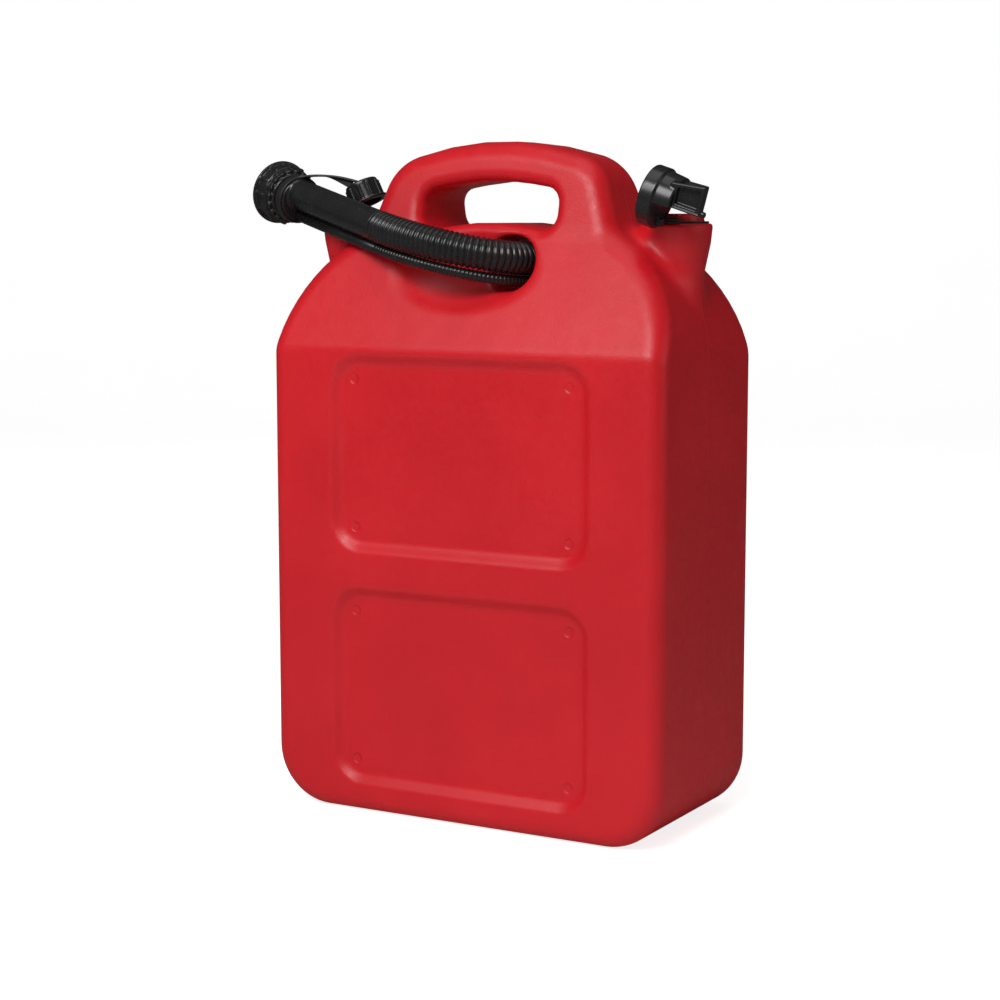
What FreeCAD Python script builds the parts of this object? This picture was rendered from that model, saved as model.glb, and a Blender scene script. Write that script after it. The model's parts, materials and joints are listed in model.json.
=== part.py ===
"""Twenty litre plastic fuel can with a stowed pouring spout.

Frame: millimetres, origin at the centre of the base, +X to the filler neck, -Y to the front, +Z up.
Every separate piece of the can is one solid, written to parts/NODE.step.
"""
import math
import os

from FreeCAD import Matrix, Placement, Rotation, Vector
import Part

# ---- driving dimensions of the can body -----------------------------------------------------------
WIDTH = 330.0
DEPTH = 164.0
HEIGHT = 508.0
WALL = 3.0
EDGE_RADIUS = 14.0
BASE_CORNER_RADIUS = 45.0
SHOULDER_Z = 407.0                  # height of the shoulder's corner before it is rounded
SHOULDER_RADIUS = 100.0
FOLD_Z = 355.0                      # the front and back faces lean inwards above this height
FOLD_RADIUS = 20.0
LEAN_Y = 41.0                       # half depth where the lean steepens into the handle
LEAN_Z = 440.0
LEAN_RADIUS = 60.0

SIDE_X = WIDTH / 2
FACE_Y = DEPTH / 2

# ---- handle and openings --------------------------------------------------------------------------
HAND_HALF = 57.0                    # half width of the hand opening
HAND_FLOOR_Z = 441.0
HAND_ROOF_Z = 472.0
HAND_ARCH = 10.5                    # rise of the opening's floor from its ends to its middle
HAND_ARCH_RADIUS = 200.0
HAND_ROOF_ARCH = 9.5
HAND_FLOOR_RADIUS = 11.0
HAND_ROOF_RADIUS = 13.0
BAR_TOP_Y = 21.0                    # half depth of the side outline just above the handle bar
BAR_TOP_MARGIN = 20.0
LEG_FOOT_X = 105.0                  # where the handle's leg meets the shoulder
LEG_FOOT_Z = 441.5
LEG_FOOT_RADIUS = 25.0
LEG_TOP_X = 88.0
LEG_TOP_RADIUS = 36.0
TOP_SLOPE = math.radians(17)        # slope of the handle bar's ends
TOP_RADIUS = 238.0
STOW_LEFT_X = 3.0
STOW_RIGHT_X = 47.0
STOW_LOW_Z = 398.0
STOW_HIGH_Z = 438.5
DISH_CENTRE = Vector(-9, -86, 423)
DISH_RADII = Vector(75, 50, 38)

# ---- recessed panels ------------------------------------------------------------------------------
PANEL_HALF = 110.0
PANEL_DEPTH = 5.5
PANEL_DRAFT = 8.0                   # width of the sloping panel wall
PANEL_RADIUS = 25.0
PANEL_HEIGHTS = ((22.0, 175.0), (201.0, 351.0))

# ---- necks ----------------------------------------------------------------------------------------
NECK_X = 138.0
NECK_RADIUS = 24.5
NECK_ROOT_RADIUS = 18.0
NECK_LIP = 1.2
NECK_ROOT_Z = 402.0
NECK_FOOT_RADIUS = 14.0             # the neck ends in a plug that reaches down through the shoulder
NECK_FOOT_Z = 388.0
NECK_HOLLOW_Z = 405.0               # the neck's hollow opens into the fuel space above the shoulder
NECK_CROWN = 9.0                    # depth of the neck's solid top
NECK_TOP_Z = 447.4
NECK_BAND = 14.0                    # height of the neck's band, above its sloping sides
NECK_ROLL = 3.0                     # height of the sloping edge at the band's top
NECK_CHAMFER = 1.0                  # how far the band's top edge is drawn in
FILLER_RIM_RADIUS = 19.5
FILLER_RIM_HEIGHT = 7.0
FILLER_BORE_RADIUS = 16.0
VENT_RIM_RADIUS = 10.0
VENT_RIM_HEIGHT = 6.0
VENT_BORE_RADIUS = 7.0

# ---- filler cap, hanging on its side in front of its neck --------------------------------------------
CAP_AXIS = Vector(1.0, 0.05, -0.333)
CAP_ROLL = 9.3                      # turn of the bar grip about the cap's own axis, degrees
CAP_MOUTH = Vector(134.8, -39.3, 468.1)
CAP_SKIRT_RADIUS = 22.0
CAP_SKIRT_LENGTH = 11.0
CAP_CROWN = 2.5
CAP_BORE_RADIUS = 19.6
CAP_DOME_RADIUS = 20.4
CAP_DOME_TAPER = 1.2
CAP_DOME_END = 24.0                 # all heights along the cap's axis are from its mouth
GRIP_START = 19.0
GRIP_END = 45.2
GRIP_BOTTOM = 0.5
GRIP_ROOT_TOP = 17.2                # the grip's top slopes up and its back slopes in towards its end
GRIP_END_TOP = 21.4
GRIP_FRONT = -13.7
GRIP_ROOT_BACK = 4.3
GRIP_END_BACK = -6.2
GRIP_FRAME = 3.0                    # width of the rim round the pocket of the grip
GRIP_POCKET = 4.0
GRIP_EDGE = 1.0
NOTCH_LENGTH = 4.0                  # notch across the top of the grip, next to the dome
NOTCH_DEPTH = 3.0
RAIL_DEPTH = 1.4                    # rail along the bottom of the dome and the grip
RAIL_EDGE = 0.8
KNOB_RADIUS = 2.2
KNOB_END = 48.5
SEAL_THICKNESS = 1.6
SEAL_WIDTH = 5.5

# ---- strap of the filler cap ------------------------------------------------------------------------
STRAP_RING_RADIUS = 23.0
STRAP_RING_BORE = 20.1
STRAP_LIFT = 0.1                    # clearance of the strap over the neck's top
FILLER_STRAP_THICKNESS = 1.6
LUG_ANGLE = 288.0                   # where the lug stands on its ring, degrees about the neck
LUG_START = 20.5
LUG_LENGTH = 9.0
LUG_WIDTH = 9.0
PIN_RADIUS = 1.3

# ---- pouring spout ----------------------------------------------------------------------------------
TUBE_RADIUS = 11.8
TUBE_WALL = 2.0
HOSE_RADIUS = 12.2
BREATHER_RADIUS = 4.2
BREATHER_WALL = 1.0
BREATHER_DROP = 16.9                # spacing of the breather's axis from the spout's axis
TUBE_AXIS = Vector(0.887, -0.404, -0.211)
HOSE_START = Vector(-75.0, -64.1, 444.7)
HOSE_LEAD = 41.4                    # how far the bend holds the direction of its straight ends
HOSE_TRAIL = 69.4
ADAPTER_LENGTH = 149.0
BASE_RADIUS = 16.6                  # round base that both tubes of the spout start from
BASE_END = 33.0
COLLAR_DROP = 4.4                   # the collar's axis runs below the axis of the main tube
COLLAR_FLANGE_RADIUS = 25.0
COLLAR_RADIUS = 22.6
COLLAR_NECK_RADIUS = 20.6
COLLAR_BORE_RADIUS = 19.6
COLLAR_BORE_LENGTH = 7.4            # clear depth of the mouth, which takes a neck finish
COLLAR_GROOVE_RADIUS = 20.0         # room in which the adapter's flange turns
COLLAR_BARREL = 14.0
COLLAR_LENGTH = 21.0
COLLAR_SEAT = 9.5                   # depth of the adapter's flange inside the collar
SEAT_THICKNESS = 2.5
SEAT_RADIUS = 19.2                  # radius of the adapter's flange and of the seal under it
COLLAR_RIBS = 12
COLLAR_RIB = 2.4                    # width of a rib
COLLAR_FLANGE = 2.5                 # thickness of the flange round the mouth
RING_START = 25.0                   # strap ring of the vent cap, measured from the collar's mouth
RING_LENGTH = 7.0
RING_WALL = 1.9
STOW_LINE_X = 33.3                  # where the stowed hose runs straight back through the can
STOW_LINE_Y = -17.0
STOW_LINE_Z = 421.5
NOZZLE_START_Y = 46.0
NOZZLE_END_Y = 80.0
NOZZLE_RADIUS = 10.5

# ---- vent cap ---------------------------------------------------------------------------------------
VENT_CAP_BASE = Vector(-125.0, -2.0, 463.0)
VENT_CAP_AXIS = Vector(-0.42, -0.05, 0.9)
VENT_CAP_RADIUS = 13.0
VENT_CAP_HEIGHT = 17.0
VENT_CAP_EDGE = 1.5
VENT_CAP_BORE_RADIUS = 10.6
VENT_FLANGE_RADIUS = 16.0
VENT_FLANGE = 1.8
VENT_RIBS = 10
VENT_RIB = 2.0
STRAP_THICKNESS = 1.8
STRAP_WIDTH = 7.0
STRAP_RISE = 3.0

Y_AXIS = Vector(0, 1, 0)
Z_AXIS = Vector(0, 0, 1)
GAP = 0.05                          # radial running clearance between turning pieces
SHARP_RADIUS = 0.01                 # stands for a sharp corner where an outline needs a radius


# ---- shared geometry --------------------------------------------------------------------------------
def unit(vector):
    """The vector scaled to length one."""
    return vector * (1.0 / vector.Length)


def rounded_outline(corners):
    """Closed wire in the XZ plane through corners (x, z, radius), each corner rounded by its radius."""
    points = [Vector(x, 0, z) for x, z, _ in corners]
    edges = []
    starts = []
    count = len(corners)
    for index, (_, _, radius) in enumerate(corners):
        corner = points[index]
        back = unit(points[index - 1] - corner)
        ahead = unit(points[(index + 1) % count] - corner)
        half_angle = back.getAngle(ahead) / 2
        reach = radius / math.tan(half_angle)
        bisector = unit(back + ahead)
        middle = corner + bisector * (radius / math.sin(half_angle) - radius)
        starts.append((corner + back * reach, middle, corner + ahead * reach))
    for index, (begin, middle, end) in enumerate(starts):
        edges.append(Part.Arc(begin, middle, end).toShape())
        edges.append(Part.LineSegment(end, starts[(index + 1) % count][0]).toShape())
    return Part.Wire(edges)


def both_sides(right, middle=()):
    """Corners of a symmetric outline: its right half, any on the centre line, and the mirrored left half."""
    return list(right) + list(middle) + [(-x, z, radius) for x, z, radius in reversed(right)]


def grown_face(wire, growth):
    """Face inside a wire, grown outwards by growth or shrunk when growth is negative."""
    face = Part.Face(wire)
    if growth:
        face = face.makeOffset2D(growth)
    return face


def prism_along_y(wire, half_depth, growth=0.0):
    """Solid of an XZ outline that reaches half_depth either side of the XZ plane."""
    face = grown_face(wire, growth)
    face.translate(Vector(0, -half_depth, 0))
    return face.extrude(Vector(0, 2 * half_depth, 0))


def frame_on(origin, axis, upward=Z_AXIS):
    """Placement that takes local Z to axis and local Y as near to upward as it can."""
    local_z = unit(axis)
    local_y = unit(upward - local_z * upward.dot(local_z))
    local_x = local_y.cross(local_z)
    return Placement(origin, Rotation(local_x, local_y, local_z, "ZXY"))


def cylinder(radius, low, high):
    """Cylinder on the local Z axis between two heights."""
    return Part.makeCylinder(radius, high - low, Vector(0, 0, low))


def tube(outer, inner, low, high):
    """Round tube on the local Z axis between two heights."""
    return cylinder(outer, low, high).cut(cylinder(inner, low - 1, high + 1))


def swept(path, radius):
    """Round bar that follows a path wire."""
    start = path.Edges[0]
    first = start.FirstParameter
    ring = Part.Wire(Part.Circle(start.valueAt(first), start.tangentAt(first), radius).toShape())
    return path.makePipeShell([ring], True, True)


def swept_tube(path, outer, inner):
    """Round tube that follows a path wire."""
    return swept(path, outer).cut(swept(path, inner))


def filleted_between(solid, radius, low_z, high_z):
    """Round the edges where faces square to the XZ plane meet the front and back faces."""
    chosen = []
    for edge in solid.Edges:
        leans = [abs(face_lean(face)) > 1e-4 for face in solid.ancestorsOfType(edge, Part.Face)]
        height = edge.CenterOfMass.z
        if len(leans) == 2 and leans[0] != leans[1] and low_z < height < high_z:
            chosen.append(edge)
    return solid.makeFillet(radius, chosen)


def face_lean(face):
    """Y component of a face's normal, taken at the middle of its parameter range."""
    u_low, u_high, v_low, v_high = face.ParameterRange
    return face.normalAt((u_low + u_high) / 2, (v_low + v_high) / 2).y


# ---- can body ---------------------------------------------------------------------------------------
def front_outline():
    """Outline seen from the front: base corners, sides, sloping shoulders, handle legs and bar."""
    apex_z = HEIGHT + TOP_RADIUS * (1 / math.cos(TOP_SLOPE) - 1)
    right = [
        (SIDE_X, 0.0, BASE_CORNER_RADIUS),
        (SIDE_X, SHOULDER_Z, SHOULDER_RADIUS),
        (LEG_FOOT_X, LEG_FOOT_Z, LEG_FOOT_RADIUS),
        (LEG_TOP_X, apex_z - LEG_TOP_X * math.tan(TOP_SLOPE), LEG_TOP_RADIUS),
    ]
    return rounded_outline(both_sides(right, [(0.0, apex_z, TOP_RADIUS)]))


def side_outline(inset):
    """Outline seen from the side, in (y, z): upright faces that lean inwards above the fold."""
    right = [
        (FACE_Y - inset, -1.0, SHARP_RADIUS),
        (FACE_Y - inset, FOLD_Z, FOLD_RADIUS),
        (LEAN_Y - inset, LEAN_Z, LEAN_RADIUS),
        (BAR_TOP_Y - inset, HEIGHT + BAR_TOP_MARGIN, SHARP_RADIUS),
    ]
    return rounded_outline(both_sides(right))


def side_prism(inset):
    """Solid of the side outline, as wide as the can."""
    face = Part.Face(side_outline(inset))
    face.rotate(Vector(0, 0, 0), Z_AXIS, 90)
    face.translate(Vector(-WIDTH, 0, 0))
    return face.extrude(Vector(2 * WIDTH, 0, 0))


def envelope(inset):
    """The can's outer form with no openings, shrunk by inset on every side."""
    front = prism_along_y(front_outline(), DEPTH, -inset)
    both = front.common(side_prism(inset)).removeSplitter().Solids[0]
    return filleted_between(both, EDGE_RADIUS - inset, -1, HEIGHT + 1)


def hand_opening():
    """Outline of the hand opening: arched roof and floor."""
    corners = [
        (-HAND_HALF, HAND_FLOOR_Z, HAND_FLOOR_RADIUS),
        (0.0, HAND_FLOOR_Z + HAND_ARCH, HAND_ARCH_RADIUS),
        (HAND_HALF, HAND_FLOOR_Z, HAND_FLOOR_RADIUS),
        (HAND_HALF, HAND_ROOF_Z, HAND_ROOF_RADIUS),
        (0.0, HAND_ROOF_Z + HAND_ROOF_ARCH, HAND_ARCH_RADIUS),
        (-HAND_HALF, HAND_ROOF_Z, HAND_ROOF_RADIUS),
    ]
    return rounded_outline(corners)


def stow_opening():
    """Outline of the opening under the handle that stores the spout."""
    radius = (STOW_HIGH_Z - STOW_LOW_Z) / 2 - SHARP_RADIUS
    corners = [
        (STOW_LEFT_X, STOW_LOW_Z, radius),
        (STOW_RIGHT_X, STOW_LOW_Z, radius),
        (STOW_RIGHT_X, STOW_HIGH_Z, radius),
        (STOW_LEFT_X, STOW_HIGH_Z, radius),
    ]
    return rounded_outline(corners)


def dish(growth):
    """Ellipsoid that scoops the front face where the hose turns into the storage opening."""
    ball = Part.makeSphere(1.0)
    scale = Matrix()
    scale.scale(DISH_RADII.x + growth, DISH_RADII.y + growth, DISH_RADII.z + growth)
    scooped = ball.transformGeometry(scale)
    scooped.translate(DISH_CENTRE)
    return scooped


def panel_wire(low_z, high_z, half_width, y):
    """Rounded rectangle of a panel at one depth."""
    corners = [
        (-half_width, low_z, PANEL_RADIUS),
        (half_width, low_z, PANEL_RADIUS),
        (half_width, high_z, PANEL_RADIUS),
        (-half_width, high_z, PANEL_RADIUS),
    ]
    wire = rounded_outline(corners)
    wire.translate(Vector(0, y, 0))
    return wire


def panel_recesses(growth):
    """Sloping-walled recesses of the front and back panels, grown by the wall for the cavity."""
    recesses = []
    for low_z, high_z in PANEL_HEIGHTS:
        mouth = panel_wire(low_z - growth, high_z + growth, PANEL_HALF + growth, -FACE_Y)
        inset = PANEL_DRAFT - growth
        floor_y = PANEL_DEPTH + growth - FACE_Y
        floor = panel_wire(low_z + inset, high_z - inset, PANEL_HALF - inset, floor_y)
        front = Part.makeLoft([mouth, floor], True, True)
        recesses.append(front)
        recesses.append(front.mirror(Vector(0, 0, 0), Y_AXIS))
    return recesses


def neck(x, rim_radius, rim_height):
    """Moulded neck with a rolled lip and a plain rim on top."""
    profile = [
        Vector(0, 0, NECK_FOOT_Z),
        Vector(NECK_FOOT_RADIUS, 0, NECK_FOOT_Z),
        Vector(NECK_ROOT_RADIUS, 0, NECK_ROOT_Z),
        Vector(NECK_RADIUS, 0, NECK_TOP_Z - NECK_BAND),
        Vector(NECK_RADIUS + NECK_LIP, 0, NECK_TOP_Z - NECK_ROLL),
        Vector(NECK_RADIUS - NECK_CHAMFER, 0, NECK_TOP_Z),
        Vector(rim_radius, 0, NECK_TOP_Z),
        Vector(rim_radius, 0, NECK_TOP_Z + rim_height),
        Vector(0, 0, NECK_TOP_Z + rim_height),
        Vector(0, 0, NECK_FOOT_Z),
    ]
    solid = Part.Face(Part.makePolygon(profile)).revolve(Vector(0, 0, 0), Z_AXIS, 360)
    solid.translate(Vector(x, 0, 0))
    return solid


def neck_cavity(x, bore_radius, rim_height):
    """Hollow of a neck: a passage to the fuel space and the bore through the top."""
    crown_z = NECK_TOP_Z - NECK_CROWN
    hollow = cylinder(NECK_ROOT_RADIUS - WALL, NECK_HOLLOW_Z, crown_z)
    bore = cylinder(bore_radius, crown_z - 1, NECK_TOP_Z + rim_height + 1)
    cavity = hollow.fuse(bore)
    cavity.translate(Vector(x, 0, 0))
    return cavity


def tank_cavity():
    """Fuel space: the envelope inside the walls, kept clear of every opening."""
    bridge = Part.makeBox(
        2 * HAND_HALF, DEPTH, HAND_FLOOR_Z + HAND_ARCH - STOW_HIGH_Z,
        Vector(-HAND_HALF, -FACE_Y, STOW_HIGH_Z),
    )
    keep = [
        prism_along_y(hand_opening(), DEPTH, WALL),
        prism_along_y(stow_opening(), DEPTH, WALL),
        dish(WALL),
        bridge,
    ]
    return envelope(WALL).cut(keep + panel_recesses(WALL))


def tank_body():
    """Blow-moulded can: hollow body with handle, storage opening, panels and two necks."""
    solid = envelope(0.0)
    solid = solid.cut([prism_along_y(hand_opening(), DEPTH), prism_along_y(stow_opening(), DEPTH)])
    solid = solid.cut([dish(0.0)] + panel_recesses(0.0))
    solid = solid.fuse([
        neck(NECK_X, FILLER_RIM_RADIUS, FILLER_RIM_HEIGHT),
        neck(-NECK_X, VENT_RIM_RADIUS, VENT_RIM_HEIGHT),
    ])
    solid = solid.cut(tank_cavity())
    solid = solid.cut([
        neck_cavity(NECK_X, FILLER_BORE_RADIUS, FILLER_RIM_HEIGHT),
        neck_cavity(-NECK_X, VENT_BORE_RADIUS, VENT_RIM_HEIGHT),
    ])
    return solid


# ---- filler cap ---------------------------------------------------------------------------------------
def cap_frame():
    """Placement of the filler cap: local Z from the mouth to the grip."""
    place = frame_on(CAP_MOUTH, CAP_AXIS)
    return place.multiply(Placement(Vector(0, 0, 0), Rotation(Z_AXIS, CAP_ROLL)))


def grip_section(height, back, top, margin=0.0):
    """Rectangle across the grip at a height along the cap's axis, shrunk by margin at its top and bottom."""
    corners = [
        Vector(GRIP_FRONT, GRIP_BOTTOM + margin, height),
        Vector(back, GRIP_BOTTOM + margin, height),
        Vector(back, top - margin, height),
        Vector(GRIP_FRONT, top - margin, height),
    ]
    return Part.makePolygon(corners + corners[:1])


def grip():
    """Wedge-shaped box that the fingers turn."""
    sections = [
        grip_section(GRIP_START, GRIP_ROOT_BACK, GRIP_ROOT_TOP),
        grip_section(GRIP_END, GRIP_END_BACK, GRIP_END_TOP),
    ]
    solid = Part.makeLoft(sections, True, True)
    return solid.makeFillet(GRIP_EDGE, solid.Edges)


def grip_hollows():
    """Coring pocket in the front of the grip and the notch in its top."""
    pocket_back = GRIP_FRONT + GRIP_POCKET
    sections = [
        grip_section(CAP_DOME_END + 1, pocket_back, GRIP_ROOT_TOP, GRIP_FRAME),
        grip_section(GRIP_END - GRIP_FRAME, pocket_back, GRIP_END_TOP, GRIP_FRAME),
    ]
    pocket = Part.makeLoft(sections, True, True)
    outside = pocket.copy()
    outside.translate(Vector(1 - GRIP_POCKET, 0, 0))
    notch = Part.makeBox(
        -2 * GRIP_FRONT, 2 * NOTCH_DEPTH, NOTCH_LENGTH,
        Vector(GRIP_FRONT + GRIP_FRAME, GRIP_ROOT_TOP - NOTCH_DEPTH, CAP_DOME_END),
    )
    return [pocket, outside, notch]


def rail():
    """Thin rail along the bottom of the dome and the grip, with a round knob at its end."""
    bar = Part.makeBox(
        GRIP_END_BACK - GRIP_FRONT + RAIL_EDGE, RAIL_DEPTH, GRIP_END - CAP_SKIRT_LENGTH,
        Vector(GRIP_FRONT - RAIL_EDGE, GRIP_BOTTOM + GRIP_EDGE - RAIL_DEPTH, CAP_SKIRT_LENGTH),
    )
    knob = cylinder(KNOB_RADIUS, GRIP_END - KNOB_RADIUS, KNOB_END)
    knob.translate(Vector((GRIP_FRONT + GRIP_END_BACK) / 2, GRIP_BOTTOM + KNOB_RADIUS / 2, 0))
    return [bar, knob]


def filler_cap():
    """Wing cap: round skirt, half dome and a cored grip."""
    skirt = cylinder(CAP_SKIRT_RADIUS, 0, CAP_SKIRT_LENGTH)
    skirt = skirt.makeFillet(GRIP_EDGE, [skirt.Edges[0], skirt.Edges[2]])
    dome = Part.makeCone(
        CAP_DOME_RADIUS, CAP_DOME_RADIUS - CAP_DOME_TAPER, CAP_DOME_END - CAP_SKIRT_LENGTH,
        Vector(0, 0, CAP_SKIRT_LENGTH),
    )
    reach = CAP_SKIRT_RADIUS
    lower = Part.makeBox(2 * reach, reach, CAP_DOME_END, Vector(-reach, GRIP_BOTTOM - reach, CAP_SKIRT_LENGTH))
    cap = skirt.fuse([dome.cut(lower), grip()] + rail()).cut(grip_hollows())
    cap = cap.cut(cylinder(CAP_BORE_RADIUS, -1, CAP_SKIRT_LENGTH - CAP_CROWN))
    cap.Placement = cap_frame()
    return cap


def filler_cap_seal():
    """Flat ring seal at the bottom of the filler cap's skirt."""
    top = CAP_SKIRT_LENGTH - CAP_CROWN
    seal = tube(CAP_BORE_RADIUS, CAP_BORE_RADIUS - SEAL_WIDTH, top - SEAL_THICKNESS, top)
    seal.Placement = cap_frame()
    return seal


def on_filler_neck(shape):
    """Turn a shape about the filler neck to the strap's lug and set it on the neck's top."""
    shape.rotate(Vector(0, 0, 0), Z_AXIS, LUG_ANGLE)
    shape.translate(Vector(NECK_X, 0, NECK_TOP_Z + STRAP_LIFT))
    return shape


def filler_tether():
    """Strap ring round the filler neck, with the lug that carries the cap's pin."""
    ring = tube(STRAP_RING_RADIUS, STRAP_RING_BORE, 0, FILLER_STRAP_THICKNESS)
    lug = Part.makeBox(LUG_LENGTH, LUG_WIDTH, FILLER_STRAP_THICKNESS, Vector(LUG_START, -LUG_WIDTH / 2, 0))
    return on_filler_neck(ring.fuse(lug))


def filler_tether_pin():
    """Hinge pin that lies across the end of the filler strap's lug."""
    start = Vector(LUG_START + LUG_LENGTH - PIN_RADIUS, -LUG_WIDTH / 2, FILLER_STRAP_THICKNESS + PIN_RADIUS)
    return on_filler_neck(Part.makeCylinder(PIN_RADIUS, LUG_WIDTH, start, Y_AXIS))


# ---- pouring spout --------------------------------------------------------------------------------------
def tube_frame(distance, drop=0.0):
    """Placement on the straight part of the spout, at a distance before the hose begins."""
    base = frame_on(Vector(0, 0, 0), TUBE_AXIS)
    origin = HOSE_START - unit(TUBE_AXIS) * distance - base.Rotation.multVec(Y_AXIS) * drop
    return frame_on(origin, TUBE_AXIS)


def hose_path(drop):
    """Path of the hose: a bend from the adapter, then straight back through the can."""
    lowered = Vector(0, 0, -drop)
    start = tube_frame(0.0, drop).Base
    turn = Vector(STOW_LINE_X, STOW_LINE_Y, STOW_LINE_Z) + lowered
    end = Vector(STOW_LINE_X, NOZZLE_START_Y, STOW_LINE_Z) + lowered
    bend = Part.BezierCurve()
    bend.setPoles([start, start + unit(TUBE_AXIS) * HOSE_LEAD, turn - Y_AXIS * HOSE_TRAIL, turn])
    return Part.Wire([bend.toShape(), Part.LineSegment(turn, end).toShape()])


def spout_hose():
    """Flexible hose of the spout."""
    return swept_tube(hose_path(0.0), HOSE_RADIUS, HOSE_RADIUS - TUBE_WALL)


def spout_breather():
    """Thin breather tube that follows the spout on its lower side, from the base to the nozzle."""
    curved = hose_path(BREATHER_DROP)
    lead_start = tube_frame(ADAPTER_LENGTH - BASE_END, BREATHER_DROP).Base
    run = tube_frame(0.0, BREATHER_DROP).Base - lead_start
    outer = swept(curved, BREATHER_RADIUS)
    inner = swept(curved, BREATHER_RADIUS - BREATHER_WALL)
    lead_outer = Part.makeCylinder(BREATHER_RADIUS, run.Length, lead_start, run)
    lead_inner = Part.makeCylinder(BREATHER_RADIUS - BREATHER_WALL, run.Length, lead_start, run)
    return outer.fuse(lead_outer).cut(inner.fuse(lead_inner))


def spout_adapter():
    """Smooth rigid tube on a round base, with the flange that the collar traps."""
    flange = cylinder(SEAT_RADIUS, COLLAR_SEAT, COLLAR_SEAT + SEAT_THICKNESS)
    base = cylinder(BASE_RADIUS, COLLAR_SEAT, BASE_END)
    for shape in (flange, base):
        shape.translate(Vector(0, -COLLAR_DROP, 0))
    solid = cylinder(TUBE_RADIUS, COLLAR_SEAT, ADAPTER_LENGTH).fuse([flange, base])
    solid = solid.cut(cylinder(TUBE_RADIUS - TUBE_WALL, 0, ADAPTER_LENGTH + 1))
    breather_way = cylinder(BREATHER_RADIUS - BREATHER_WALL, 0, BASE_END + 1)
    breather_way.translate(Vector(0, -BREATHER_DROP, 0))
    solid = solid.cut(breather_way)
    solid.Placement = tube_frame(ADAPTER_LENGTH)
    return solid


def spout_nozzle():
    """Smooth pouring end of the spout, behind the storage opening."""
    length = NOZZLE_END_Y - NOZZLE_START_Y
    nozzle = tube(NOZZLE_RADIUS, NOZZLE_RADIUS - TUBE_WALL, 0, length)
    nozzle.Placement = frame_on(Vector(STOW_LINE_X, NOZZLE_START_Y, STOW_LINE_Z), Y_AXIS)
    return nozzle


def collar_frame():
    """Placement of the screw collar: local Z from its open mouth towards the hose."""
    return tube_frame(ADAPTER_LENGTH, COLLAR_DROP)


def spread(shape, count):
    """Copies of a shape at equal turns about the local Z axis."""
    copies = []
    for index in range(count):
        copy = shape.copy()
        copy.rotate(Vector(0, 0, 0), Z_AXIS, index * 360.0 / count)
        copies.append(copy)
    return copies


def grip_rib(width, radius, length):
    """Rib that stands half its width out of a round barrel, along the local Z axis."""
    return Part.makeBox(width, width, length, Vector(radius - width / 2, -width / 2, 0))


def spout_collar():
    """Screw collar: flanged mouth, gripping ribs and a narrow neck round the adapter."""
    flange = cylinder(COLLAR_FLANGE_RADIUS, 0, COLLAR_FLANGE)
    barrel = cylinder(COLLAR_RADIUS, 0, COLLAR_BARREL)
    narrow = cylinder(COLLAR_NECK_RADIUS, 0, COLLAR_LENGTH)
    rib = grip_rib(COLLAR_RIB, COLLAR_RADIUS, COLLAR_BARREL - 1)
    collar = flange.fuse([barrel, narrow] + spread(rib, COLLAR_RIBS))
    shoulder = COLLAR_SEAT + SEAT_THICKNESS + GAP
    collar = collar.cut(cylinder(COLLAR_BORE_RADIUS, -1, COLLAR_BORE_LENGTH + 1))
    collar = collar.cut(cylinder(COLLAR_GROOVE_RADIUS, COLLAR_BORE_LENGTH, shoulder))
    collar = collar.cut(cylinder(BASE_RADIUS + GAP, 0, COLLAR_LENGTH + 1))
    collar.Placement = collar_frame()
    return collar


def spout_seal():
    """Flat ring seal under the adapter's flange, pressed on the neck finish in use."""
    seal = tube(SEAT_RADIUS, BASE_RADIUS - TUBE_WALL, COLLAR_SEAT - SEAL_THICKNESS, COLLAR_SEAT)
    seal.Placement = collar_frame()
    return seal


# ---- vent cap -------------------------------------------------------------------------------------------
def vent_cap_frame():
    """Placement of the vent cap: local Z from its open end to its crown."""
    return frame_on(VENT_CAP_BASE, VENT_CAP_AXIS, Y_AXIS)


def vent_cap():
    """Small ribbed cap with a flange round its open end."""
    cap = cylinder(VENT_CAP_RADIUS, 0, VENT_CAP_HEIGHT)
    cap = cap.makeFillet(VENT_CAP_EDGE, [cap.Edges[0]])
    rib = grip_rib(VENT_RIB, VENT_CAP_RADIUS, VENT_CAP_HEIGHT - 2 * VENT_CAP_EDGE)
    cap = cap.fuse([cylinder(VENT_FLANGE_RADIUS, 0, VENT_FLANGE)] + spread(rib, VENT_RIBS))
    cap = cap.cut(cylinder(VENT_CAP_BORE_RADIUS, -1, VENT_CAP_HEIGHT - CAP_CROWN))
    cap.Placement = vent_cap_frame()
    return cap


def vent_cap_seal():
    """Flat disc seal at the bottom of the vent cap."""
    top = VENT_CAP_HEIGHT - CAP_CROWN
    seal = cylinder(VENT_CAP_BORE_RADIUS, top - SEAL_THICKNESS, top)
    seal.Placement = vent_cap_frame()
    return seal


def strap_band(path):
    """Flat band of the strap's section that follows a path."""
    start = path.Edges[0].valueAt(path.Edges[0].FirstParameter)
    along = path.Edges[0].tangentAt(path.Edges[0].FirstParameter)
    side = unit(along.cross(Z_AXIS)) * (STRAP_WIDTH / 2)
    thick = unit(side.cross(along)) * (STRAP_THICKNESS / 2)
    corners = [start - side - thick, start + side - thick, start + side + thick, start - side + thick]
    return path.makePipeShell([Part.makePolygon(corners + corners[:1])], True, False)


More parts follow.
